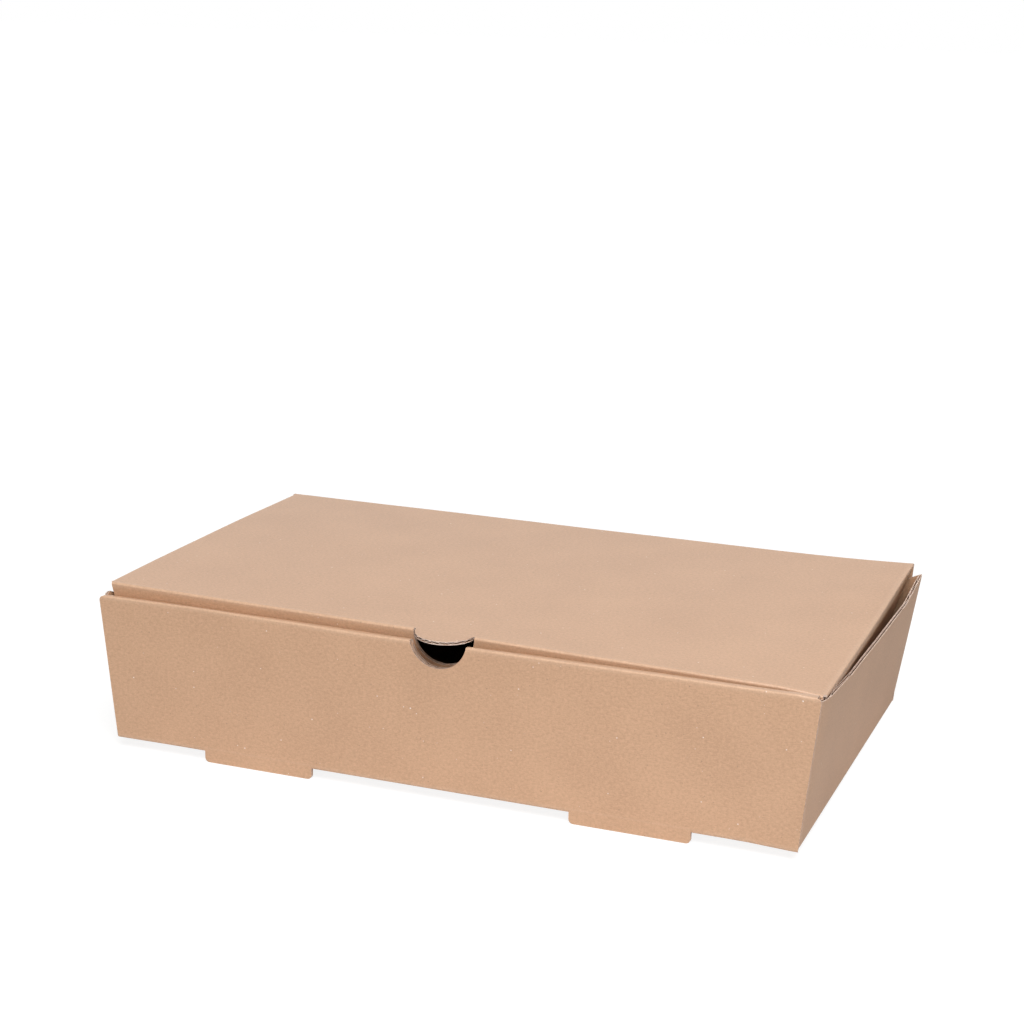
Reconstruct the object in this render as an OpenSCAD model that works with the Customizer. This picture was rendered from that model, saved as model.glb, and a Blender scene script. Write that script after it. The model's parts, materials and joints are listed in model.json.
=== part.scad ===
// A takeaway box for fish and chips, folded from one die-cut sheet of
// corrugated card: a tray with a double front wall, and a lid on its back wall.
// It is modelled with the front wall's outer face at y = 0, the underside of the
// base at z = 0 and x = 0 in the middle. set_down() then stands it on its two
// feet and its back edge, so the base slopes a little and the front is raised.

/* [Board] */
// Thickness of the corrugated board
board = 1.5; // [1.2:0.1:2]
// Inside radius of a folded edge
fold_in = 0.4; // [0.3:0.1:1]
// Play between two layers of board that lie on each other
play = 0.15; // [0.1:0.05:0.3]

/* [Tray] */
// Length of the base, from side wall to side wall
base_len = 300; // [240:1:400]
// Depth of the box, from front to back
base_dep = 180; // [150:1:240]
// Height of the front wall
front_h = 62.3; // [52:0.1:85]
// Outward lean of the side walls, in degrees
flare = 7.5; // [4:0.5:12]
// How far the middle of a side wall's top edge lies below the front wall's top
side_dip = 6.7; // [3:0.1:14]
// How far a side wall's back corner lies below the front wall's top
side_back_drop = 0.8; // [0.5:0.1:5]
// Length of the slope at the front end of a side wall's top edge
ramp_front = 52; // [15:1:60]
// Length of the slope at the back end of a side wall's top edge
ramp_back = 27; // [15:1:60]

/* [Corner flaps] */
// Length of a side wall's front corner flap
front_flap_len = 46; // [25:1:60]
// Taper of the front corner flap's two edges, in degrees
front_flap_taper = 10; // [8:1:18]
// Length of a side wall's back corner flap
back_flap_len = 40; // [20:1:50]
// Slope of the back corner flap's top edge, in degrees
back_flap_slope = 33; // [20:1:45]

/* [Feet and locks] */
// Length of a foot tab
foot_len = 50.4; // [35:0.2:70]
// Distance of a foot tab's middle from the middle of the box
foot_x = 82.2; // [65:0.1:100]
// How far a foot tab reaches below the base
foot_drop = 4.6; // [3:0.1:7]
// Radius of a foot tab's corners
foot_r = 2; // [1:0.1:3]
// How much shorter a lock tab is than its slot, at each end
lock_inset = 1; // [0.5:0.1:3]

/* [Finger notch and thumb tab] */
// Radius of the finger notch in the front wall
notch_r = 12.5; // [9:0.5:18]
// Height of the notch's centre above the front wall's top
notch_rise = 2; // [0.5:0.1:4]
// Radius of the lid's thumb tab
thumb_r = 12.5; // [9:0.5:16]
// Distance of the thumb tab's centre behind the lid's front crease
thumb_set = 2.2; // [1:0.1:4]
// Width of the cut around the thumb tab
thumb_cut = 0.4; // [0.2:0.1:1]

/* [Lid] */
// Height of the lid's top above the front wall's top
lid_rise = 3.2; // [2.4:0.1:6]
// Gap between the lid's side folds and the side walls
lid_play = 1.1; // [0.6:0.1:3]
// Gap between the front wall and the lid's front crease
front_gap = 1.2; // [0.8:0.1:3]
// Depth of the lid's front tuck flap
tuck_dep = 32; // [20:1:40]
// Inward lean of the tuck flap, in degrees
tuck_lean = 7; // [5:0.5:12]
// Taper of the tuck flap's ends, in degrees
tuck_taper = 15; // [5:1:25]
// How much shorter the tuck flap is than the lid, at each end
tuck_inset = 1.2; // [0.8:0.1:4]
// Depth of the lid's side flaps
side_flap_dep = 38; // [25:1:45]
// Taper of a side flap's front end, in degrees
side_front_taper = 15; // [5:1:25]
// Taper of a side flap's back end, in degrees
side_back_taper = 30; // [20:1:40]

/* [Hidden] */
$fn = 48;
kraft = [0.74, 0.57, 0.42];
over = 1;                                   // how far a cut runs past a face
fold_r = board + fold_in;                   // outside radius of a fold
layer = board + play;                       // pitch of layers that lie on each other
roll_w = board + 2 * layer;                 // thickness of the double front wall
back_h = front_h + lid_rise;                // height of the hinge crease
crease_y = roll_w + front_gap;              // front face of the lid's front crease
bend_len = (fold_r - board / 2) * PI / 2;   // length of board in a square fold
slot_dep = 2 * fold_r + foot_drop - bend_len; // a foot is as long as the slot it leaves
ear_y = layer + fold_r;                     // where a side wall starts behind the front
fold_x = neat(base_len / 2 - fold_r * (1 - sin(flare)) / cos(flare));
lid_half = neat(wall_x(front_h) - board / cos(flare) - lid_play);
side_lean = flare + 0.5;                    // the side flaps lean in from the walls
tuck_fold = bend_len * (90 + tuck_lean) / 90;

// Faces that meet are placed to a hundredth of a millimetre
function neat(length) = round(100 * length) / 100;
// Outer face of a side wall at height z
function wall_x(z) = base_len / 2 + z * tan(flare);
// Height along a leaning side wall at which its outer face is at height z
function up(z) = (z - fold_r * (1 - sin(flare))) / cos(flare);

// The slope of the base on its feet, and where the model's frame has its origin
rest_tilt = atan(foot_drop / (base_dep - board - fold_r));
function tilted(y, z) = [y * cos(rest_tilt) + z * sin(rest_tilt),
                         z * cos(rest_tilt) - y * sin(rest_tilt)];
front_reach = tilted(crease_y + thumb_set - thumb_r, back_h - board)[0];
back_reach = tilted(base_dep - fold_r, back_h - fold_r)[0] + fold_r;
floor_z = tilted(board, -foot_drop)[1];

module set_down() {
    translate([0, -(front_reach + back_reach) / 2, -floor_z])
        rotate([-rest_tilt, 0, 0])
            children();
}

// Sections are drawn in the plane across their run, and the run is centred
module along_x(length) {
    rotate([90, 0, 90]) translate([0, 0, -length / 2]) linear_extrude(length) children();
}

module along_y(from, to) {
    translate([0, to, 0]) rotate([90, 0, 0]) linear_extrude(to - from) children();
}

module both_sides() {
    children();
    mirror([1, 0, 0]) children();
}

// Section of a fold: the part of a ring of board between two angles
module fold(from, to) {
    reach = 3 * fold_r;
    middle = (from + to) / 2;
    intersection() {
        difference() {
            circle(r = fold_r);
            circle(r = fold_in);
        }
        polygon(concat([[0, 0]], [for (a = [from, middle, to]) reach * [cos(a), sin(a)]]));
    }
}

// Outline that is symmetric about x = 0: half widths at a bottom and a top height
module trapezoid(low, low_half, high, high_half) {
    polygon([[-low_half, low], [low_half, low], [high_half, high], [-high_half, high]]);
}

// ---- tray -------------------------------------------------------------------

module base_panel() {
    translate([-fold_x, fold_r, 0])
        cube([2 * fold_x, base_dep - 2 * fold_r, board]);
}

module front_section() {
    translate([fold_r, fold_r]) fold(180, 270);
    translate([0, fold_r]) square([board, front_h - 2 * fold_r]);
    translate([fold_r, front_h - fold_r]) fold(90, 180);
    translate([fold_r, front_h - board]) square([roll_w - 2 * fold_r, board]);
    translate([roll_w - fold_r, front_h - fold_r]) fold(0, 90);
    translate([roll_w - board, layer]) square([board, front_h - fold_r - layer]);
}

// The outer ply covers the side walls' front edges; the roll and the inner ply
// fit between the side walls.
module front_outline() {
    inner = wall_x(0) - board / cos(flare) - play;
    lean = tan(flare);
    along_y(-over, board)
        trapezoid(0, wall_x(0), front_h, wall_x(front_h));
    along_y(board, roll_w + over)
        trapezoid(0, inner, front_h, inner + front_h * lean);
}

module front_wall() {
    intersection() {
        along_x(2 * wall_x(front_h) + 2 * over) front_section();
        front_outline();
    }
}

module finger_notch() {
    translate([0, roll_w + over, front_h + notch_rise])
        rotate([90, 0, 0])
            cylinder(r = notch_r, h = roll_w + 2 * over);
}

// A foot is cut from the base and stays in the plane of the outer ply
module foot() {
    low = foot_r - foot_drop;
    corner_x = foot_len / 2 - foot_r;
    translate([foot_x, 0, 0])
        along_y(0, board) {
            translate([-foot_len / 2, low]) square([foot_len, fold_r - low]);
            translate([-corner_x, -foot_drop]) square([2 * corner_x, foot_r]);
            for (s = [-1, 1])
                translate([s * corner_x, low]) circle(r = foot_r);
        }
}

// The slot that a foot leaves, through the bottom fold and into the base
module foot_slot() {
    translate([foot_x - foot_len / 2, -over, -over]) {
        cube([foot_len, over + fold_r, over + fold_r]);
        cube([foot_len, over + slot_dep, over + layer]);
    }
}

// The inner ply's lock tabs stand in the slots
module lock_tab() {
    length = foot_len - 2 * lock_inset;
    translate([foot_x - length / 2, roll_w - board, 0])
        cube([length, board, layer + over]);
}

module back_section() {
    translate([base_dep - fold_r, fold_r]) fold(270, 360);
    translate([base_dep - board, fold_r]) square([board, back_h - 2 * fold_r]);
    translate([base_dep - fold_r, back_h - fold_r]) fold(0, 45);
}

module back_wall() {
    intersection() {
        along_x(2 * lid_half) back_section();
        along_y(base_dep - fold_r - over, base_dep + over)
            trapezoid(0, base_len / 2, back_h, lid_half);
    }
}

// A side wall with its two corner flaps, upright, with the fold to the base at
// x = 0, z = 0
module side_section() {
    back_y = base_dep - ear_y;
    translate([fold_in, ear_y]) square([board, back_y - ear_y]);
    translate([0, ear_y]) fold(270, 360);
    translate([-front_flap_len, layer]) square([front_flap_len, board]);
    translate([0, back_y]) fold(0, 90);
    translate([-back_flap_len, base_dep - layer - board]) square([back_flap_len, board]);
}

// The upright outline of a side wall, then of its front and back corner flaps
module side_outline() {
    low = play;
    dip = up(front_h - side_dip);
    front_top = up(front_h - layer);
    back_top = up(front_h - side_back_drop);
    front_fall = front_flap_len * tan(front_flap_taper);
    back_fall = back_flap_len * tan(back_flap_slope);
    rotate([90, 0, 90])
        linear_extrude(fold_r + over)
            polygon([
                [ear_y, 0], [ear_y, low], [0, low], [0, front_top],
                [ramp_front, dip], [base_dep - ramp_back, dip], [base_dep, back_top],
                [base_dep, low], [base_dep - ear_y, low], [base_dep - ear_y, 0]
            ]);
    along_y(0, ear_y)
        polygon([
            [0, low], [0, front_top],
            [-front_flap_len, front_top - front_fall], [-front_flap_len, low + front_fall]
        ]);
    along_y(base_dep - ear_y, base_dep)
        polygon([
            [0, low], [0, back_top],
            [-back_flap_len, back_top - back_fall], [-back_flap_len, low]
        ]);
}

module side_wall() {
    translate([fold_x, 0, fold_r])
        rotate([0, flare, 0]) {
            intersection() {
                linear_extrude(back_h) side_section();
                side_outline();
            }
            along_y(ear_y, base_dep - ear_y) fold(flare - 90, 0);
        }
}

module tray() {
    color(kraft) {
        difference() {
            union() {
                base_panel();
                front_wall();
            }
            finger_notch();
            both_sides() foot_slot();
        }
        back_wall();
        both_sides() {
            foot();
            lock_tab();
            side_wall();
        }
    }
}

// ---- lid --------------------------------------------------------------------

module lid_panel() {
    translate([-(lid_half - fold_r), crease_y + fold_r, back_h - board])
        cube([2 * (lid_half - fold_r), base_dep - crease_y - 2 * fold_r, board]);
}

// The lid's half of the hinge crease, with play between it and the tray's half
module hinge_fold() {
    along_x(2 * lid_half)
        translate([base_dep - fold_r, back_h - fold_r])
            difference() {
                fold(45, 90);
                rotate(45) translate([0, -play]) square([2 * fold_r, 2 * play]);
            }
}

module thumb_tab() {
    translate([0, 0, back_h - board])
        linear_extrude(board)
            intersection() {
                translate([0, crease_y + thumb_set]) circle(r = thumb_r);
                translate([-thumb_r, crease_y + thumb_set - thumb_r])
                    square([2 * thumb_r, thumb_r - thumb_set + fold_r]);
            }
}

// The tuck flap hangs from its fold, upright, with the fold's centre at the origin
module tuck_section() {
    fold(90 - tuck_lean, 180);
    translate([-fold_r, -tuck_dep]) square([board, tuck_dep]);
}

module tuck_flap() {
    half = lid_half - fold_r - tuck_inset;
    translate([0, crease_y + fold_r, back_h - fold_r])
        rotate([tuck_lean, 0, 0])
            difference() {
                intersection() {
                    along_x(2 * half) tuck_section();
                    along_y(-fold_r - over, fold_r) {
                        trapezoid(-tuck_dep, half - tuck_dep * tan(tuck_taper), 0, half);
                        translate([-half, 0]) square([2 * half, fold_r + over]);
                    }
                }
                // the hole that the thumb tab leaves
                translate([0, fold_r, thumb_set - fold_r + tuck_fold])
                    rotate([90, 0, 0])
                        cylinder(r = thumb_r + thumb_cut, h = 2 * fold_r + over);
            }
}

// A side flap hangs from its fold, upright, with the fold's centre at x = 0, z = 0.
// Its back end stops short of the hinge and of the tray's back corner flap.
module lid_side_flap() {
    front = crease_y + fold_r;
    back = base_dep - ear_y;
    translate([lid_half - fold_r, 0, back_h - fold_r])
        rotate([0, side_lean, 0]) {
            along_y(front, back) fold(0, 90 + side_lean);
            translate([fold_in, 0, 0])
                rotate([90, 0, 90])
                    linear_extrude(board)
                        polygon([
                            [front, 0], [back, 0],
                            [back - side_flap_dep * tan(side_back_taper), -side_flap_dep],
                            [front + side_flap_dep * tan(side_front_taper), -side_flap_dep]
                        ]);
        }
}

module lid() {
    color(kraft) {
        lid_panel();
        hinge_fold();
        thumb_tab();
        tuck_flap();
        both_sides() lid_side_flap();
    }
}

set_down() tray();
set_down() lid();
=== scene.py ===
"""A fish and chips box: one die-cut sheet of corrugated kraft board, creased and folded.

The tray and the lid are each laid out flat as the blank is, with their outer face
down: an outer liner, a fluted medium and an inner liner. Each blank is then folded
along its creases. The script's own lengths are in millimetres. PLACE takes the
folded box, modelled with its base level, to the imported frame, where the box stands
on its feet and its back edge.
"""
import json
import math
from collections import namedtuple

import bmesh
import bpy
from mathutils import Matrix, Vector, noise
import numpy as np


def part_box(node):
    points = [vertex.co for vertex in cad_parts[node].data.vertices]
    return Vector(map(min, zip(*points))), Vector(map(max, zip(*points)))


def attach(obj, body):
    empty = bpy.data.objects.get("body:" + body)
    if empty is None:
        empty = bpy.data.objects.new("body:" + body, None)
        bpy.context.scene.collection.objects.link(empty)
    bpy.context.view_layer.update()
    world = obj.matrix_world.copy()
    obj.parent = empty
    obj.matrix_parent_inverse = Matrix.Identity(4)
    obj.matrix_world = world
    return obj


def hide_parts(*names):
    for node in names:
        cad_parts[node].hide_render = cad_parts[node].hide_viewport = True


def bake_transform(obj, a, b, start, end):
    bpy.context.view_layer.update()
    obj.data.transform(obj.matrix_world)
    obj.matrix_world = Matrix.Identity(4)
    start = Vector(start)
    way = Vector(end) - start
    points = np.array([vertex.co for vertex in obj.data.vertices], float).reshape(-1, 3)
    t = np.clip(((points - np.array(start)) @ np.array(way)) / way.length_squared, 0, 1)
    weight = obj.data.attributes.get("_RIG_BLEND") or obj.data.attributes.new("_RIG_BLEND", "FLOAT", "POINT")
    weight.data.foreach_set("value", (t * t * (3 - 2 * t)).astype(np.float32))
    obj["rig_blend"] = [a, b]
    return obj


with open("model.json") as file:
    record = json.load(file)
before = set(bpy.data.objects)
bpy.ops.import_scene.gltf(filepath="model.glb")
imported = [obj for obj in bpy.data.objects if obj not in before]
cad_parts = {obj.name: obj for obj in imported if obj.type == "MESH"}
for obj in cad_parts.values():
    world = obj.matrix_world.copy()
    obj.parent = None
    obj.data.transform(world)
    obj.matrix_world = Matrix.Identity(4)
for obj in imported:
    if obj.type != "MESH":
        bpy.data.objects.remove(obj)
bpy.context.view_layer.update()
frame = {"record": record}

MM = 0.001
UP = Vector((0, 0, 1))

# ---- sizes ---------------------------------------------------------------------------
# Where the base lies, and so the slope of the box, its depth and its height, come
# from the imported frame.
base_mount = frame["record"]["mounts"][0]
hinge_joint = frame["record"]["behaviour"]["joints"][0]
base_middle = Vector(base_mount["pos_m"])
base_up = -Vector(base_mount["axis"]).normalized()
base_back = Vector((1, 0, 0)).cross(-base_up)
hinge_from_base = (Vector(hinge_joint["pos_m"]) - base_middle) / MM
base_dep = 2 * hinge_from_base.dot(base_back)
back_h = hinge_from_base.dot(base_up)
lid_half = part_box("lid")[1].x / MM

board = 1.5                 # thickness of the board
paper = 0.32                # thickness of a liner
medium_paper = 0.2          # thickness of the fluted medium
pitch = 3.3                 # from flute to flute
crushed = 0.85              # thickness to which a crease crushes the board
crush_reach = 1.4           # how far that reaches on either side of a crease
fold_r = crushed + 0.2      # outside radius of a fold
play = 0.15                 # between layers that lie on each other
layer = board + play

base_len = 300.0
front_h = 62.3              # height of the front wall
front_flare = 6.1           # degrees that the side walls lean out, at the front
back_flare = 9.1            # and at the back
fold_flare = 7.5            # the lean to which they are folded before they settle
roll_w = board + 2 * layer  # thickness of the double front wall
side_low = 55.6             # height of the middle of a side wall
side_front_top = 60.4       # and of its front and back ends
side_back_top = 62.2
ramp_front = 52.0           # how far the slopes reach from those ends to its middle
ramp_back = 27.0
ply_corner = 1.5            # rounding of the outer ply's top corners

foot_x = 82.2               # from the middle of the box to that of a foot
foot_len = 50.4
foot_drop = 4.6             # how far a foot reaches below the base
foot_r = 2.0                # rounding of its corners
lock_inset = 1.0            # how much shorter a lock tab is at each end

notch_r = 12.5              # radius of the finger notch
notch_rise = 2.0            # height of its centre above the front wall
thumb_r = 12.5              # radius of the thumb tab
thumb_set = 2.2             # from the lid's front back to its centre
thumb_cut = 0.8             # width of the gap round it
thumb_drop = 1.3            # how much deeper the cut in the tuck flap is than the tab

front_flap_len = 46.0       # corner flaps, with the slope of their edges in degrees
front_flap_taper = 10.0
back_flap_len = 40.0
back_flap_slope = 33.0

crease_y = roll_w + 1.2     # front face of the lid's front crease
tuck_dep = 32.0             # depth of the tuck flap
tuck_lean = 7.0             # degrees that it is folded in beyond upright
tuck_taper = 15.0           # slope of its ends
tuck_inset = 1.2            # and how far they are in from the lid's
side_flap_dep = 38.0        # depth of the lid's side flaps
side_front_taper = 15.0     # slopes of their ends
side_back_taper = 30.0
lid_flare = 8.0             # degrees that they are folded in beyond upright

ear_y = layer + fold_r      # from the front or back to the first of a side wall's fold
side_lean = math.radians(fold_flare)
fold_x = base_len / 2 - fold_r * (1 - math.sin(side_lean)) / math.cos(side_lean)

bend_steps = 8              # faces across a crease
flute_steps = 6             # faces across a flute
warp_cell = {               # spacing of the cuts that let the sheets warp together
    "x": 8.0, "y": 14.0}


def crease(degrees):
    """Length of board that a fold of so many degrees takes up."""
    return (fold_r - crushed / 2) * math.radians(degrees)


def tan(degrees):
    return math.tan(math.radians(degrees))


# Places along the tray's blank. The base lies where it does in the folded box, and
# the front and back walls carry on from it.
square_fold = crease(90)
base_front = fold_r
base_end = base_dep - fold_r
ply_low = base_front - square_fold
ply_top = ply_low - (front_h - 2 * fold_r)
roll_front = ply_top - square_fold
roll_back = roll_front - (roll_w - 2 * fold_r)
inner_top = roll_back - square_fold
inner_low = inner_top - (front_h - fold_r - layer)
lock_low = inner_low - layer
roll_middle = (roll_front + roll_back) / 2
back_low = base_end + square_fold
back_top = back_low + back_h - 2 * fold_r
foot_low = ply_low + fold_r + foot_drop
ear_front = ear_y
ear_back = base_dep - ear_y
side_start = fold_x + crease(90 - fold_flare)

# The parts of a blank that fold together: the row of panels from front to back, what
# is cut out of one of them but stays on the next, and the panels at the sides.
WALLS, TAB, SIDE = 0, 1, 2
# And a piece's materials: the liners' faces, cut edges and the fluting
KRAFT, CUT, FLUTES = 0, 1, 2


# ---- blanks --------------------------------------------------------------------------
def arc(centre, radius, start, end, steps):
    """Points on an arc, from one angle to another in degrees."""
    points = []
    for i in range(steps + 1):
        a = math.radians(start + (end - start) * i / steps)
        points.append((centre[0] + radius * math.cos(a), centre[1] + radius * math.sin(a)))
    return points


def panel(bm, points, part):
    """One flat piece of the blank, which remembers the part that it belongs to."""
    face = bm.faces.new([bm.verts.new((x, y, 0)) for x, y in points])
    face[bm.faces.layers.int["panel"]] = part


def up_side(z):
    """How far up the blank a side wall reaches the height z, once it is folded."""
    return side_start + (z - fold_r * (1 - math.sin(side_lean))) / math.cos(side_lean)


def ply_half(z):
    """Half width of the outer front ply at the height z."""
    return base_len / 2 + z * tan(front_flare)


def inner_half(z):
    """Half width of the roll and the inner ply, which fit between the side walls."""
    return ply_half(z) - board - play


def tray_walls(bm):
    """The right half of the base, the rolled front wall and the back wall."""
    wide_end = (ply_top + roll_front) / 2
    corner = (ply_half(front_h) - ply_corner, wide_end + ply_corner)
    notch_reach = notch_rise + fold_r - (ply_top - roll_middle)
    notch_side = math.degrees(math.asin(notch_reach / notch_r))
    outer_notch = arc((0, roll_middle - notch_reach), notch_r, 90, notch_side, 20)
    inner_notch = arc((0, roll_middle + notch_reach), notch_r, -notch_side, -90, 20)
    lock_near = foot_x - foot_len / 2 + lock_inset
    lock_far = foot_x + foot_len / 2 - lock_inset
    panel(bm, [(0, back_top)] + outer_notch + inner_notch[1:] + [
        (0, inner_low), (lock_near, inner_low), (lock_near, lock_low),
        (lock_far, lock_low), (lock_far, inner_low),
        (inner_half(layer), inner_low), (inner_half(front_h), roll_back),
        (inner_half(front_h), wide_end),
    ] + arc(corner, ply_corner, -90, front_flare, 6) + [
        (ply_half(0), base_front), (fold_x, base_front), (fold_x, base_end),
        (ply_half(0), base_end), (lid_half, back_top),
    ], WALLS)


def tray_foot(bm):
    """A foot, cut from the base but left on the outer ply."""
    near = foot_x - foot_len / 2
    far = foot_x + foot_len / 2
    low = foot_low - foot_r
    panel(bm, [(near, ply_low), (far, ply_low)]
          + arc((far - foot_r, low), foot_r, 0, 90, 6)
          + arc((near + foot_r, low), foot_r, 90, 180, 6), TAB)


def tray_side(bm):
    """The right side wall with its two corner flaps."""
    low = side_start + play
    front_end = ear_front - square_fold
    flap_end = front_end - front_flap_len
    back_end = ear_back + square_fold
    back_flap_end = back_end + back_flap_len
    front_fall = front_flap_len * tan(front_flap_taper)
    back_fall = back_flap_len * tan(back_flap_slope)
    panel(bm, [
        (fold_x, ear_front), (low, ear_front), (low, front_end),
        (low + front_fall, flap_end), (up_side(side_front_top) - front_fall, flap_end),
        (up_side(side_front_top), front_end), (up_side(side_front_top), ear_front),
        (up_side(side_low), ramp_front), (up_side(side_low), base_dep - ramp_back),
        (up_side(side_back_top), ear_back + square_fold / 2),
        (up_side(side_back_top) - back_fall, back_flap_end), (low, back_flap_end),
        (low, ear_back), (fold_x, ear_back),
    ], SIDE)


# Places along the lid's blank, from the hinge crease at 0 to the front. It is laid
# out upside down, so that its outer face is down as the tray's is.
lid_front = base_dep - fold_r - (crease_y + fold_r)
tuck_top = lid_front + crease(90 + tuck_lean)
tuck_end = tuck_top + tuck_dep
lid_edge = lid_half - fold_r
corner_pad = 0.8
side_back = ear_y - fold_r
side_front = lid_front - corner_pad
thumb_centre = lid_front + fold_r - thumb_set


def lid_walls(bm):
    """The right half of the lid's panel, with its tuck flap."""
    half = lid_half - tuck_inset
    hole_r = thumb_r + thumb_cut
    meets = math.degrees(math.asin((lid_front - thumb_centre - thumb_drop) / hole_r))
    panel(bm, [
        (0, 0), (lid_half, 0), (lid_half, side_back), (lid_edge, side_back),
        (lid_edge, side_front), (lid_half - 0.3, side_front), (lid_half - 0.3, lid_front - 0.5),
        (half, lid_front), (half, tuck_top), (half - tuck_dep * tan(tuck_taper), tuck_end),
        (0, tuck_end),
    ] + arc((0, thumb_centre + thumb_drop), hole_r, 90, meets, 20) + [(0, lid_front)], WALLS)


def thumb_tab(bm):
    """The right half of the thumb tab, cut from the tuck flap but left on the lid."""
    meets = math.degrees(math.asin((lid_front - thumb_centre) / thumb_r))
    panel(bm, [(0, lid_front)] + arc((0, thumb_centre), thumb_r, meets, 90, 20), TAB)


def lid_side(bm):
    """The lid's right side flap."""
    start = lid_edge + crease(90 + lid_flare)
    end = start + side_flap_dep
    panel(bm, [
        (lid_edge, side_back), (start, side_back),
        (end, side_back + side_flap_dep * tan(side_back_taper)),
        (end, side_front - side_flap_dep * tan(side_front_taper)),
        (start, side_front), (lid_edge, side_front),
    ], SIDE)


# ---- cutting, layers and folding -----------------------------------------------------
Crease = namedtuple("Crease", "parts axis start direction degrees")

# In folding order. The hinge crease ends both blanks, so there it only crushes them.
TRAY_CREASES = [
    Crease((SIDE,), "y", ear_front, -1, 90),
    Crease((SIDE,), "y", ear_back, 1, 90),
    Crease((SIDE,), "x", fold_x, 1, 90 - fold_flare),
    Crease((WALLS,), "y", roll_back, -1, 90),
    Crease((WALLS,), "y", ply_top, -1, 90),
    Crease((WALLS, TAB), "y", base_front, -1, 90),
    Crease((WALLS,), "y", back_top, 1, 90),
    Crease((WALLS,), "y", base_end, 1, 90),
]
LID_CREASES = [
    Crease((SIDE,), "x", lid_edge, 1, 90 + lid_flare),
    Crease((WALLS,), "y", lid_front, 1, 90 + tuck_lean),
    Crease((WALLS,), "y", 0, -1, 90),
]
HINGE_CREASES = TRAY_CREASES[-2:]
AXES = {"x": Vector((1, 0, 0)), "y": Vector((0, 1, 0))}


def between(value, low, high):
    """0 at low, 1 at high, with smooth ends."""
    share = min(max((value - low) / (high - low), 0), 1)
    return share * share * (3 - 2 * share)


def beside(bend, at):
    """How far a point of the flat blank lies outside a crease. Inside, it is 0 or less."""
    along = bend.direction * (at.dot(AXES[bend.axis]) - bend.start)
    return max(-along, along - crease(bend.degrees))


def crushes(bend, part, at):
    """Whether a crease crushes this part. A side fold crushes the panel's edge as well."""
    panel_edge = bend.axis == "x" and part == WALLS and base_front < at.y < base_end
    return part != TAB and (part in bend.parts or panel_edge)


def new_blank():
    bm = bmesh.new()
    bm.faces.layers.int.new("panel")
    bm.verts.layers.int.new("part")
    bm.verts.layers.float_vector.new("sheet")
    bm.verts.layers.float.new("crease")
    return bm


def cut_across(bm, axis, places):
    """Cuts the flat blank along straight lines at these places on an axis."""
    for place in places:
        bmesh.ops.bisect_plane(
            bm, geom=bm.verts[:] + bm.edges[:] + bm.faces[:], dist=1e-5,
            plane_co=AXES[axis] * place, plane_no=AXES[axis])


def cut_out(bm, unwanted):
    """Takes out the faces whose part and middle are unwanted."""
    tag = bm.faces.layers.int["panel"]
    lost = [f for f in bm.faces if unwanted(f[tag], f.calc_center_median())]
    bmesh.ops.delete(bm, geom=lost, context="FACES")


def steps_of(start, end, cell):
    """Places at even steps of about a cell, from start to end."""
    count = max(1, round(abs(end - start) / cell))
    return [start + (end - start) * i / count for i in range(count + 1)]


def lay_out_tray():
    bm = new_blank()
    tray_walls(bm)
    tray_side(bm)
    near = foot_x - foot_len / 2
    far = foot_x + foot_len / 2
    cut_across(bm, "x", [near, far])
    cut_across(bm, "y", [ply_low, foot_low])
    cut_out(bm, lambda part, at: part == WALLS and near < at.x < far and ply_low < at.y < foot_low)
    tray_foot(bm)
    return bm


def lay_out_lid():
    bm = new_blank()
    lid_walls(bm)
    lid_side(bm)
    thumb_tab(bm)
    return bm


def lay_out_hinge():
    bm = new_blank()
    end = back_top + crease(90)
    panel(bm, [(0, back_top), (lid_half, back_top), (lid_half, end), (0, end)], WALLS)
    return bm


def finish_flat(bm, blank):
    """Welds the panels along their seams, tags the points and adds the left half."""
    for axis, place in blank["seams"]:
        on_seam = [v for v in bm.verts if abs(v.co.dot(AXES[axis]) - place) < 1e-4]
        bmesh.ops.remove_doubles(bm, verts=on_seam, dist=1e-3)
    of_face = bm.faces.layers.int["panel"]
    of_point = bm.verts.layers.int["part"]
    creased = bm.verts.layers.float["crease"]
    for v in bm.verts:
        v[of_point] = max(f[of_face] for f in v.link_faces)
        for bend in blank["creases"]:
            if crushes(bend, v[of_point], v.co):
                v[creased] = max(v[creased], 1 - between(beside(bend, v.co), 0, crush_reach))
    bmesh.ops.mirror(bm, geom=bm.verts[:] + bm.edges[:] + bm.faces[:], axis="X", merge_dist=1e-4)


def thicken(bm, low, high):
    """Gives the flat sheet its thickness, from one level of the board to another."""
    under = bm.faces[:]
    flat = bm.verts[:]
    grown = bmesh.ops.extrude_face_region(bm, geom=under)["geom"]
    over = [g for g in grown if isinstance(g, bmesh.types.BMFace)]
    raised = [g for g in grown if isinstance(g, bmesh.types.BMVert)]
    bmesh.ops.translate(bm, verts=flat, vec=UP * low)
    bmesh.ops.translate(bm, verts=raised, vec=UP * high)
    for face in bm.faces:
        face.material_index = CUT
    for face in under + over:
        face.material_index = KRAFT
    bmesh.ops.recalc_face_normals(bm, faces=bm.faces[:])


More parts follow.
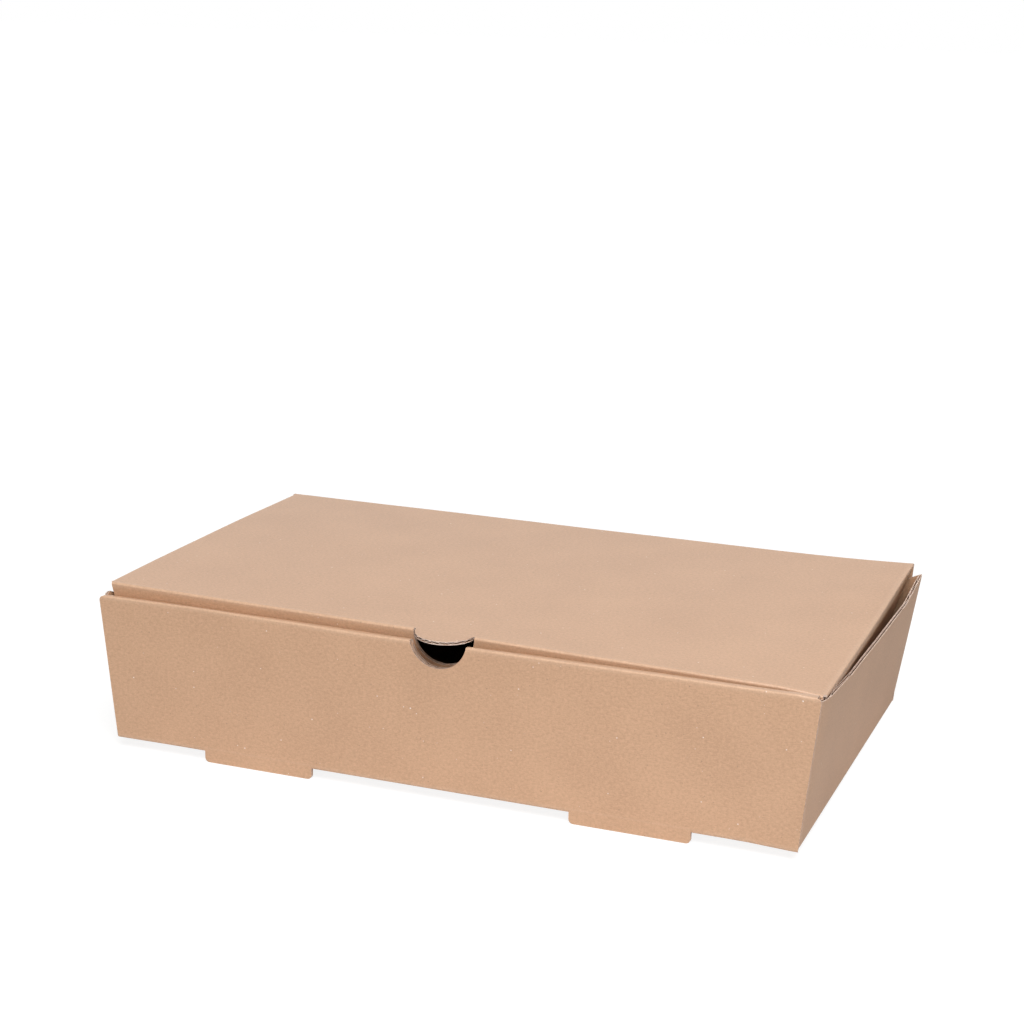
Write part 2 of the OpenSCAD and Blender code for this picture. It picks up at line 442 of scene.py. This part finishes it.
def liner(blank, low, high):
    """A liner, cut finely across its creases and into cells that can warp."""
    bm = blank["lay_out"]()
    for bend in blank["creases"]:
        end = bend.start + bend.direction * crease(bend.degrees)
        reach = bend.direction * crush_reach
        cut_across(bm, bend.axis, steps_of(bend.start - reach, bend.start, crush_reach / 3))
        cut_across(bm, bend.axis, steps_of(bend.start, end, crease(90) / bend_steps))
        cut_across(bm, bend.axis, steps_of(end, end + reach, crush_reach / 3))
    for axis, start, end in blank["extent"]:
        cut_across(bm, axis, steps_of(start, end, warp_cell[axis]))
    finish_flat(bm, blank)
    thicken(bm, low, high)
    if low > board / 2:
        creased = bm.verts.layers.float["crease"]
        for v in bm.verts:
            v.co.z -= v[creased] * (board - crushed)
    return bm


def medium(blank):
    """The fluted sheet between the liners. Its flutes stop where the board is crushed."""
    bm = blank["lay_out"]()
    for bend in blank["creases"]:
        end = bend.start + bend.direction * crease(bend.degrees)
        reach = bend.direction * crush_reach
        cut_across(bm, bend.axis, [bend.start - reach, end + reach])
        cut_out(bm, lambda part, at: crushes(bend, part, at) and beside(bend, at) < crush_reach)
    cell = pitch / flute_steps
    for axis, start, end in blank["extent"]:
        flutes = [cell * i for i in range(1, int(end / cell))]
        cut_across(bm, axis, flutes if axis == "x" else steps_of(start, end, warp_cell[axis]))
    finish_flat(bm, blank)
    thicken(bm, -medium_paper / 2, medium_paper / 2)
    swing = board / 2 - paper - medium_paper / 2
    for v in bm.verts:
        v.co.z += board / 2 + swing * math.cos(2 * math.pi * v.co.x / pitch)
    for face in bm.faces:
        face.material_index = FLUTES if face.material_index == KRAFT else CUT
    return bm


def fold(bm, parts, start, along, degrees):
    """Folds these parts up about a crease that begins at start and runs across along.

    The sheet turns through the crease's length and goes on straight behind it. A tab
    lies beside the crease and turns with what is behind it.
    """
    tag = bm.verts.layers.int["part"]
    length = crease(degrees)
    axis = along.cross(UP)
    centre = start + UP * fold_r
    for v in bm.verts:
        if v[tag] not in parts:
            continue
        share = 1 if v[tag] == TAB else min(max((v.co - start).dot(along) / length, 0), 1)
        if share > 0:
            arm = v.co - centre - along * (share * length)
            v.co = centre + Matrix.Rotation(math.radians(degrees) * share, 3, axis) @ arm


def fold_up(bm, creases):
    """Notes where each point lies on the flat sheet, and folds the blank."""
    sheet = bm.verts.layers.float_vector["sheet"]
    for v in bm.verts:
        v[sheet] = v.co
    for bend in creases:
        along = AXES[bend.axis] * bend.direction
        start = AXES[bend.axis] * bend.start
        fold(bm, bend.parts, start, along, bend.degrees)
        if bend.axis == "x":
            fold(bm, bend.parts, -start, -along, bend.degrees)


TRAY = {
    "lay_out": lay_out_tray,
    "creases": TRAY_CREASES,
    "seams": [("x", fold_x), ("y", ply_low)],
    "extent": [("x", 0, up_side(side_back_top)), ("y", lock_low, back_top)],
}
LID = {
    "lay_out": lay_out_lid,
    "creases": LID_CREASES,
    "seams": [("x", lid_edge), ("y", lid_front)],
    "extent": [("x", 0, lid_half + side_flap_dep), ("y", 0, tuck_end)],
}
HINGE = {
    "lay_out": lay_out_hinge,
    "creases": HINGE_CREASES,
    "seams": [],
    "extent": [("x", 0, lid_half)],
}


# ---- how the folded box has settled --------------------------------------------------
lid_left = 2.35             # how far the lid's front left corner stands up
lid_right = -2.45           # and its front right corner
lid_crown = 0.25            # and the middle between them
lid_bulge = 0.45            # how far its left edge bulges up from front to back
lid_press = 1.2             # how much further down the right corner's end is pressed
lid_skew = 1.3              # how far the right corner has slipped to the right
flap_in = 0.16              # how far in the lid's side flaps lean, for their depth
tuck_out = 0.13             # how far out its tuck flap leans
back_sag = 0.35             # how far the hinge crease sags
back_rise = 1.35            # and its right end stands up from there
front_top = (               # places across the front wall, and how far its top stands up there
    (-158, 1.4), (-110, 1.65), (-70, 1.2), (-30, 0.6), (40, 0.9), (140, 1.0), (147, 1.2),
    (152, 0.8))
roll_rise = 0.25            # how far the back of the roll does
front_hang = 0.65           # how far the outer ply's right bottom corner hangs
hump = 3.35                 # how far the left side wall stands up behind the roll
bow = 0.9                   # how far the right one bows out beside the lid's corner
right_out = 0.5             # how far out the right side wall's foot and back stand
ply_close = 1.2             # how far the inner ply's middle is pressed towards the outer one
ply_gape = 0.35             # how far the outer ply's ends stand off the side walls
ply_end = (125, 151)        # places across it between which its ends come free
ripple_span = 45.0          # distance over which the board rises and falls
ripple_rise = 0.15          # and about how far
noise.seed_set(2)           # unseeded, the noise would differ from run to run


def ripple(at):
    """The board is nowhere quite flat: a small smooth rise and fall over the box."""
    return noise.noise_vector(at / ripple_span) * ripple_rise


def settle_back(at):
    """The hinge crease sags a little and stands up towards its right end."""
    near = between(at.y, base_dep / 2, base_dep) * between(at.z, front_h / 2, back_h)
    end = max((at.x - 60) / (lid_half - 60), 0)
    return UP * (back_rise * end ** 3 - back_sag) * near


def stand_out(at):
    """The right side wall's foot and back stand out to the right."""
    return AXES["x"] * right_out * between(at.x, 0, base_len / 2)


def settle_tray(at, part):
    """The side walls lean out more at the back, and the roll slopes down to the back.

    Each warp fades in or out between two places in millimetres, most of them near the
    roll. The base stays flat.
    """
    height = max(at.z, 0) / front_h
    moved = at + ripple(at) * between(at.z, 4, 20)
    rise = front_top[0][1] + sum(
        (after[1] - before[1]) * between(at.x, before[0], after[0])
        for before, after in zip(front_top, front_top[1:]))
    rise += (roll_rise - rise) * min(max(at.y / roll_w, 0), 1)
    moved.z += rise * height * (1 - between(at.y, 4, 26))
    moved += stand_out(at) * max(at.y / base_dep, 1 - height)
    if part == SIDE:
        side = math.copysign(1, at.x)
        lean = front_flare + (back_flare - front_flare) * min(max(at.y / base_dep, 0), 1)
        moved.x += side * height * front_h * (tan(lean) - tan(fold_flare))
        if side < 0:
            moved.z += hump * between(at.y, 3, 4.6) * (1 - between(at.y, 6, 18)) * height
        else:
            moved.x += bow * between(at.y, 3.4, 9) * (1 - between(at.y, 10, 45)) * height
    else:
        hang = between(at.x, *ply_end) * (1 - between(at.z, 0, 20)) * (1 - between(at.y, 1.6, 4))
        moved += settle_back(at) - UP * front_hang * hang
        if at.z > board and at.y < roll_w + 0.1:
            middle = 1 - between(abs(at.x), 8, 52)
            moved.y -= ply_close * middle * between(at.y, board, roll_w - board)
        gape = between(abs(at.x), *ply_end) * (1 - between(at.y, board, 2 * board))
        moved.y -= ply_gape * gape
    return moved


def settle_lid(at, part):
    """The lid is twisted: its front stands up at the left and is down at the right.

    It is in place at the hinge, and the share of the twist grows to 1 at its front.
    """
    share = (base_end - at.y) / (base_end - crease_y)
    across = (at.x / lid_half + 1) / 2
    rise = lid_left + (lid_right - lid_left) * across + lid_crown * 4 * across * (1 - across)
    rise -= lid_press * between(at.x, 138, lid_half)
    slip = Vector((lid_skew * across ** 3, 0, rise)) * share
    slip.z += lid_bulge * (1 - across) * 4 * share * (1 - share)
    if part == SIDE:
        slip.x -= math.copysign(flap_in, at.x) * max(back_h - at.z, 0)
    elif part == WALLS:
        slip.y -= tuck_out * max(back_h - board - at.z, 0)
    return at + ripple(at) + settle_back(at) + slip + stand_out(at) * (1 - share)


def settle_hinge(at, part):
    return at + ripple(at) + settle_back(at) + stand_out(at)


# ---- pieces --------------------------------------------------------------------------
tilt = Matrix((AXES["x"], base_back, base_up)).transposed()
PLACE = (Matrix.Translation(base_middle) @ tilt.to_4x4() @ Matrix.Scale(MM, 4)
         @ Matrix.Translation((0, -base_dep / 2, 0)))


def piece(name, layers, creases, turned, settle):
    """Folds each layer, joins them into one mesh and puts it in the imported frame."""
    whole = bmesh.new()
    for bm in layers:
        fold_up(bm, creases)
        bmesh.ops.transform(bm, matrix=turned, verts=bm.verts[:])
        tag = bm.verts.layers.int["part"]
        for v in bm.verts:
            v.co = settle(v.co, v[tag])
        for face in bm.faces:
            face.smooth = True
        mesh = bpy.data.meshes.new(name + "_layer")
        bm.to_mesh(mesh)
        bm.free()
        whole.from_mesh(mesh)
        bpy.data.meshes.remove(mesh)
    bmesh.ops.transform(whole, matrix=PLACE, verts=whole.verts[:])
    mesh = bpy.data.meshes.new(name)
    whole.to_mesh(mesh)
    whole.free()
    mesh.set_sharp_from_angle(angle=math.radians(40))
    made = bpy.data.objects.new(name, mesh)
    bpy.context.scene.collection.objects.link(made)
    for material in BOARD_MATERIALS:
        mesh.materials.append(material)
    return made


AS_LAID = Matrix.Identity(4)
TURNED_OVER = Matrix.Translation((0, base_end, back_h)) @ Matrix.Rotation(math.pi, 4, "X")


def board_layers(blank):
    return [liner(blank, 0, paper), liner(blank, board - paper, board), medium(blank)]


# ---- finishes ------------------------------------------------------------------------
class Value:
    """A socket that adds up, so that shader maths reads as plain expressions."""

    def __init__(self, shade, socket):
        self.shade = shade
        self.socket = socket

    def _with(self, operation, first, second):
        return self.shade.node("ShaderNodeMath", {"operation": operation}, [first, second])

    def __add__(self, other):
        return self._with("ADD", self, other)

    def __radd__(self, other):
        return self._with("ADD", other, self)

    def __sub__(self, other):
        return self._with("SUBTRACT", self, other)

    def __rsub__(self, other):
        return self._with("SUBTRACT", other, self)

    def __mul__(self, other):
        return self._with("MULTIPLY", self, other)

    def __rmul__(self, other):
        return self._with("MULTIPLY", other, self)


class Shade:
    """The nodes of a material or a world, all added by one method."""

    def __init__(self, owner):
        owner.use_nodes = True
        self.owner = owner
        self.tree = owner.node_tree
        self.tree.nodes.clear()

    def node(self, kind, settings, inputs, output=0):
        """Adds a node, sets it up, and links or sets its sockets by number or name."""
        made = self.tree.nodes.new(kind)
        for name, value in settings.items():
            setattr(made, name, value)
        named = inputs.items() if isinstance(inputs, dict) else enumerate(inputs)
        for name, value in named:
            if isinstance(value, Value):
                self.tree.links.new(value.socket, made.inputs[name])
            elif value is not None:
                made.inputs[name].default_value = value
        return Value(self, made.outputs[output]) if made.outputs else None

    def noise(self, place, scale, detail, rough=0.5):
        return self.node("ShaderNodeTexNoise", {}, {
            "Vector": place, "Scale": scale, "Detail": detail, "Roughness": rough})

    def stretch(self, place, factors):
        return self.node("ShaderNodeVectorMath", {"operation": "MULTIPLY"}, [place, factors])

    def clip(self, value, low, high):
        """0 below low, 1 above high."""
        return self.node("ShaderNodeMapRange", {"interpolation_type": "SMOOTHSTEP"},
                         {"Value": value, "From Min": low, "From Max": high})

    def part_of(self, colour, which):
        return self.node("ShaderNodeSeparateColor", {}, [colour], output=which)

    def mix(self, share, first, second):
        return self.node("ShaderNodeMix", {"data_type": "RGBA"},
                         {0: share, 6: first, 7: second}, output=2)


def paper_place(shade):
    """Where a point lies on the flat sheet, in millimetres."""
    return shade.node("ShaderNodeAttribute", {"attribute_name": "sheet"}, [], output=1)


def specks(shade, place, scale, share, size):
    """Scattered dots: one in some of the cells of a grid of so many to the millimetre."""
    spread = {"Vector": place, "Scale": scale}
    away = shade.node("ShaderNodeTexVoronoi", {}, spread)
    chance = shade.node("ShaderNodeTexVoronoi", {}, spread, output=1)
    chosen = shade.clip(shade.part_of(chance, 0), 1 - share, 1 - share / 2)
    reach = size * (0.5 + shade.part_of(chance, 1))
    return chosen * shade.clip(reach - away, 0, size / 2)


def kraft():
    """Unbleached kraft paper: mottled, with fibres, pale shives and dark bark specks, and lighter along its
    creases, partly from stretched paper and partly as a painted highlight.
    """
    shade = Shade(bpy.data.materials.new("kraft_liner"))
    place = paper_place(shade)
    creased = shade.node("ShaderNodeAttribute", {"attribute_name": "crease"}, [], output=2)
    cloud = shade.noise(place, 0.03, 3)
    mottle = shade.noise(place, 0.85, 6, 0.9)
    fibre = shade.noise(shade.stretch(place, (0.5, 2.6, 1)), 0.9, 4, 0.7)
    pulp = cloud * 0.12 + mottle * 0.6 + fibre * 0.28
    colour = shade.mix(shade.clip(pulp, 0.39, 0.61),
                       (0.50, 0.292, 0.172, 1), (0.655, 0.400, 0.245, 1))
    colour = shade.mix(specks(shade, place, 0.55, 0.3, 0.14) * 0.4, colour, (0.23, 0.14, 0.09, 1))
    colour = shade.mix(specks(shade, place, 0.34, 0.3, 0.09) * 0.8, colour, (0.90, 0.82, 0.76, 1))
    # lighter along the creases: partly stretched paper, partly a painted highlight where the rounded folds
    # catch the light from above
    colour = shade.mix(creased * 0.12, colour, (0.80, 0.60, 0.45, 1))
    normal = shade.node("ShaderNodeBump", {}, {
        "Strength": 0.25, "Distance": 0.0003, "Height": mottle * 0.5 + fibre * 0.5})
    surface = shade.node("ShaderNodeBsdfPrincipled", {}, {
        "Base Color": colour, "Roughness": 0.35 + mottle * 0.12, "Normal": normal,
        "Specular IOR Level": 0.8})
    shade.node("ShaderNodeOutputMaterial", {}, {"Surface": surface})
    return shade.owner


def fluting():
    """The medium's darker recycled paper."""
    shade = Shade(bpy.data.materials.new("fluting"))
    mottle = shade.noise(paper_place(shade), 0.8, 4, 0.7)
    colour = shade.mix(shade.clip(mottle, 0.35, 0.65), (0.25, 0.15, 0.10, 1), (0.38, 0.24, 0.16, 1))
    surface = shade.node("ShaderNodeBsdfPrincipled", {}, {
        "Base Color": colour, "Roughness": 0.8 + mottle * 0.1})
    shade.node("ShaderNodeOutputMaterial", {}, {"Surface": surface})
    return shade.owner


def cut_edge():
    """A die-cut edge: pale broken fibres, with dirt between them."""
    shade = Shade(bpy.data.materials.new("cut_edge"))
    torn = shade.noise(paper_place(shade), 0.45, 6, 0.9)
    colour = shade.mix(shade.clip(torn, 0.34, 0.58), (0.40, 0.27, 0.20, 1), (0.82, 0.66, 0.57, 1))
    normal = shade.node("ShaderNodeBump", {}, {"Strength": 0.5, "Distance": 0.0004, "Height": torn})
    surface = shade.node("ShaderNodeBsdfPrincipled", {}, {
        "Base Color": colour, "Roughness": 0.85 + torn * 0.1, "Normal": normal})
    shade.node("ShaderNodeOutputMaterial", {}, {"Surface": surface})
    return shade.owner


BOARD_MATERIALS = [kraft(), cut_edge(), fluting()]


# ---- the box -------------------------------------------------------------------------
tray_board = piece("tray_board", board_layers(TRAY), TRAY_CREASES, AS_LAID, settle_tray)
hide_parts("tray")
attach(tray_board, "tray")

lid_board = piece("lid_board", board_layers(LID), LID_CREASES, TURNED_OVER, settle_lid)
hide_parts("lid")
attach(lid_board, "lid")

for name, low in (("hinge_outer_liner", 0), ("hinge_inner_liner", board - paper)):
    hinge = piece(name, [liner(HINGE, low, low + paper)], HINGE_CREASES, AS_LAID,
                  settle_hinge)
    middle = min(low, crushed - paper) + paper / 2
    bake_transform(hinge, "tray", "lid",
             start=PLACE @ Vector((0, base_dep - middle, back_h - fold_r)),
             end=PLACE @ Vector((0, base_end, back_h - middle)))


# ---- floor, light and camera ---------------------------------------------------------
world_light = 0.06
floor_half = 4.0
floor_gloss = 0.12          # how much of the white floor the box's sheen picks up
floor_glow = 1.12           # strength of the floor's own white
lens = 73.77
eye = (315.8, -730.5, 335.75)   # place of the camera, in the box's own level frame
eye_turn = 21.28            # degrees that it looks in from the right of straight on
eye_rise = 15.30            # degrees that it looks down
eye_roll = 0.78             # and degrees that it is turned about its own line of sight


class Background(Shade):
    """Nodes that the camera, and what reflects or lets through, see as white."""

    def ray(self, kind):
        return self.node("ShaderNodeLightPath", {}, [], output="Is " + kind + " Ray")

    def seen(self, in_gloss):
        """1 for what the camera sees, in_gloss for reflections, 0 for what lights the box."""
        direct = self.node("ShaderNodeMath", {"operation": "MAXIMUM"}, [
            self.ray("Camera"), self.ray("Transmission")])
        return self.node("ShaderNodeMath", {"operation": "MAXIMUM"}, [
            direct, self.ray("Glossy") * in_gloss])


def surround():
    """The world: soft light from all round, which is seen as white."""
    shade = Background(bpy.data.worlds.new("surround"))
    light = shade.node("ShaderNodeBackground", {}, {
        "Color": (1, 1, 1, 1), "Strength": world_light + shade.seen(1) * (1 - world_light)})
    shade.node("ShaderNodeOutputWorld", {}, {"Surface": light})
    bpy.context.scene.world = shade.owner


def floor():
    """A wide pale floor, which is seen as white but keeps the box's shadow."""
    bm = bmesh.new()
    bmesh.ops.create_grid(bm, x_segments=1, y_segments=1, size=floor_half)
    mesh = bpy.data.meshes.new("floor")
    bm.to_mesh(mesh)
    bm.free()
    made = bpy.data.objects.new("floor", mesh)
    bpy.context.scene.collection.objects.link(made)
    shade = Background(bpy.data.materials.new("floor"))
    place = shade.node("ShaderNodeTexCoord", {}, [], output="Object")
    away = shade.node("ShaderNodeVectorMath", {"operation": "LENGTH"}, [place], output="Value")
    # near the box some of its shadow shows through the white
    white_share = 0.78 + shade.clip(away, 0.3, 0.9) * 0.22
    # and further off the floor sends less light back on the box
    around = shade.mix(shade.clip(away, 0.5, 1.0), (0.98, 0.98, 0.98, 1), (0.3, 0.3, 0.3, 1))
    around = shade.mix(shade.ray("Glossy"), around, (0.3, 0.3, 0.3, 1))
    pale = shade.mix(shade.ray("Camera"), around, (0.95, 0.95, 0.95, 1))
    lit = shade.node("ShaderNodeBsdfDiffuse", {}, {"Color": pale})
    white = shade.node("ShaderNodeEmission", {}, {"Color": (1, 1, 1, 1), "Strength": floor_glow})
    shade.node("ShaderNodeOutputMaterial", {}, {
        "Surface": shade.node("ShaderNodeMixShader", {}, [
            shade.seen(floor_gloss) * white_share, lit, white])})
    mesh.materials.append(shade.owner)


def lamp(name, place, size, power):
    """A soft square lamp that faces the box."""
    data = bpy.data.lights.new(name, "AREA")
    data.size = size
    data.energy = power
    made = bpy.data.objects.new(name, data)
    bpy.context.scene.collection.objects.link(made)
    place = Vector(place)
    facing = place.to_track_quat("Z", "Y").to_matrix()
    made.matrix_world = Matrix.Translation(place) @ facing.to_4x4()


def camera():
    """The camera, placed in the box's own level frame and then tilted with it."""
    data = bpy.data.cameras.new("camera")
    data.lens = lens
    data.sensor_width = 36
    made = bpy.data.objects.new("camera", data)
    bpy.context.scene.collection.objects.link(made)
    turn = math.radians(eye_turn)
    rise = math.radians(eye_rise)
    level = Vector((math.sin(turn), -math.cos(turn), 0)) * math.cos(rise)
    back = level + UP * math.sin(rise)
    right = Vector((math.cos(turn), math.sin(turn), 0))
    up = back.cross(right)
    facing = Matrix((right, up, back)).transposed()
    facing = facing @ Matrix.Rotation(math.radians(eye_roll), 3, "Z")
    made.matrix_world = Matrix.Translation(PLACE @ Vector(eye)) @ (tilt @ facing).to_4x4()
    bpy.context.scene.camera = made


surround()
floor()
lamp("key_light", (0.60, -1.0, 1.94), size=1.4, power=57)
lamp("front_light", (0.9, -1.5, 0.6), size=0.6, power=2.8)
camera()

bpy.context.scene.view_settings.view_transform = "Standard"
